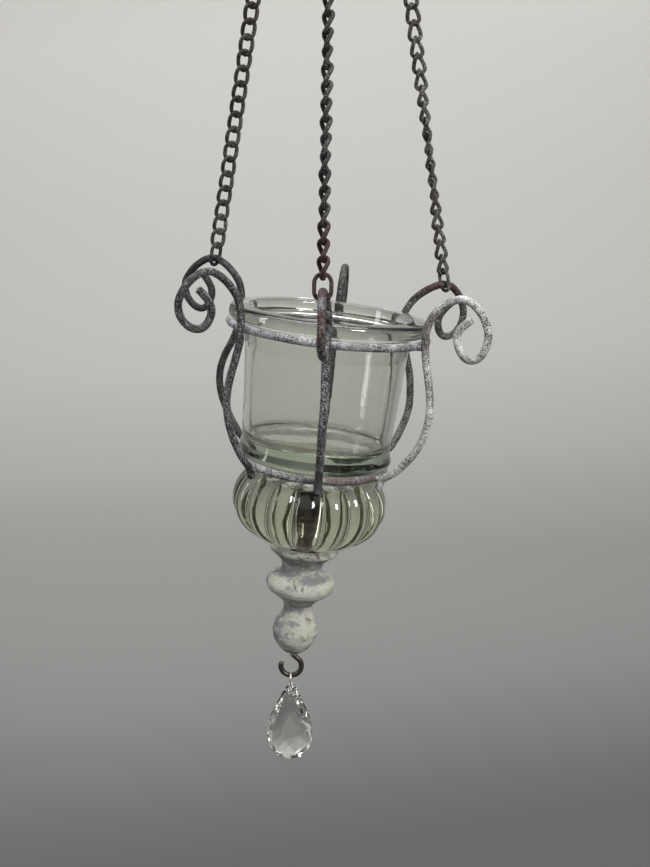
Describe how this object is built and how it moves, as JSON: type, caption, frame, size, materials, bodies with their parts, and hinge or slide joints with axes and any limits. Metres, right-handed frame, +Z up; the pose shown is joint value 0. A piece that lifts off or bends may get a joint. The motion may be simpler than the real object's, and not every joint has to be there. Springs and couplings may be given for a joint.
{
  "type": "sanctuary lamp",
  "caption": "Hanging sanctuary lamp: scrolled wire cage on curb chains holding a glass candle cup, ribbed glass bulb, turned finial and faceted drop.",
  "frame": {"origin": "inside top of the hanging S-hook, where it bears on whatever it hangs from", "axes": "+Z up the plumb line the lamp hangs on, -Y towards the front chain, +X to the right seen from the front"},
  "size_m": [0.1307, 0.1452, 0.5574],
  "materials": {
    "cage_iron": "dark iron wire with worn chalky white wash and rust",
    "chain_iron": "dark rusty iron",
    "dark_steel": "dulled dark steel",
    "pale_metal": "pale plated wire",
    "cup_glass": "clear, polished, thick",
    "melon_glass": "clear with a faint green-grey tint, polished",
    "crystal": "cut and polished",
    "plug_wood": "brown, matt",
    "distressed_paint": "turned wood under cracked, rubbed cream paint with blue-grey patches",
    "fibre": "matt"
  },
  "bodies": {
    "hook": {"hanging_hook": "dark_steel"},
    "ring": {"gathering_ring": "dark_steel"},
    "lamp": {"arm_front": "cage_iron", "arm_front_left": "cage_iron", "arm_front_right": "cage_iron", "arm_rear": "cage_iron", "arm_rear_left": "cage_iron", "arm_rear_right": "cage_iron", "cross_strap": "cage_iron", "front_chain_run_1": "chain_iron", "front_chain_run_2": "chain_iron", "front_chain_run_3": "chain_iron", "front_chain_run_4": "chain_iron", "front_chain_scroll_link": "chain_iron", "front_chain_top_link": "chain_iron", "hook_ferrule": "pale_metal", "lower_hoop": "cage_iron", "melon_glass": "melon_glass", "melon_top_plug": "plug_wood", "rear_left_chain_run_1": "chain_iron", "rear_left_chain_run_2": "chain_iron", "rear_left_chain_run_3": "chain_iron", "rear_left_chain_run_4": "chain_iron", "rear_left_chain_scroll_link": "chain_iron", "rear_left_chain_top_link": "chain_iron", "rear_right_chain_run_1": "chain_iron", "rear_right_chain_run_2": "chain_iron", "rear_right_chain_run_3": "chain_iron", "rear_right_chain_run_4": "chain_iron", "rear_right_chain_scroll_link": "chain_iron", "rear_right_chain_top_link": "chain_iron", "screw_hook": "dark_steel", "seat_washer": "fibre", "tie_rod": "dark_steel", "turned_finial": "distressed_paint", "upper_hoop": "cage_iron"},
    "cup": {"glass_cup": "cup_glass"},
    "jump_ring": {"jump_ring": "pale_metal"},
    "crystal": {"crystal_drop": "crystal"}
  },
  "joints": [
    {"name": "ring_on_hook", "type": "hinge", "parent": "hook", "child": "ring", "pos_m": [0, 0, -0.03145], "axis": [0, 1, 0], "range_deg": [-25, 25]},
    {"name": "lamp_on_ring", "type": "hinge", "parent": "ring", "child": "lamp", "pos_m": [0, 0, -0.05035], "axis": [1, 0, 0], "range_deg": [-25, 25]},
    {"name": "cup_lift", "type": "slide", "parent": "lamp", "child": "cup", "axis": [0, 0, 1], "range_m": [0, 0.06]},
    {"name": "jump_ring_swing", "type": "hinge", "parent": "lamp", "child": "jump_ring", "pos_m": [-0.00901, 0, -0.51401], "axis": [1, 0, 0], "range_deg": [-45, 45]},
    {"name": "crystal_swing", "type": "hinge", "parent": "jump_ring", "child": "crystal", "pos_m": [-0.00901, 0, -0.51892], "axis": [0, 1, 0], "range_deg": [-45, 45]}
  ]
}
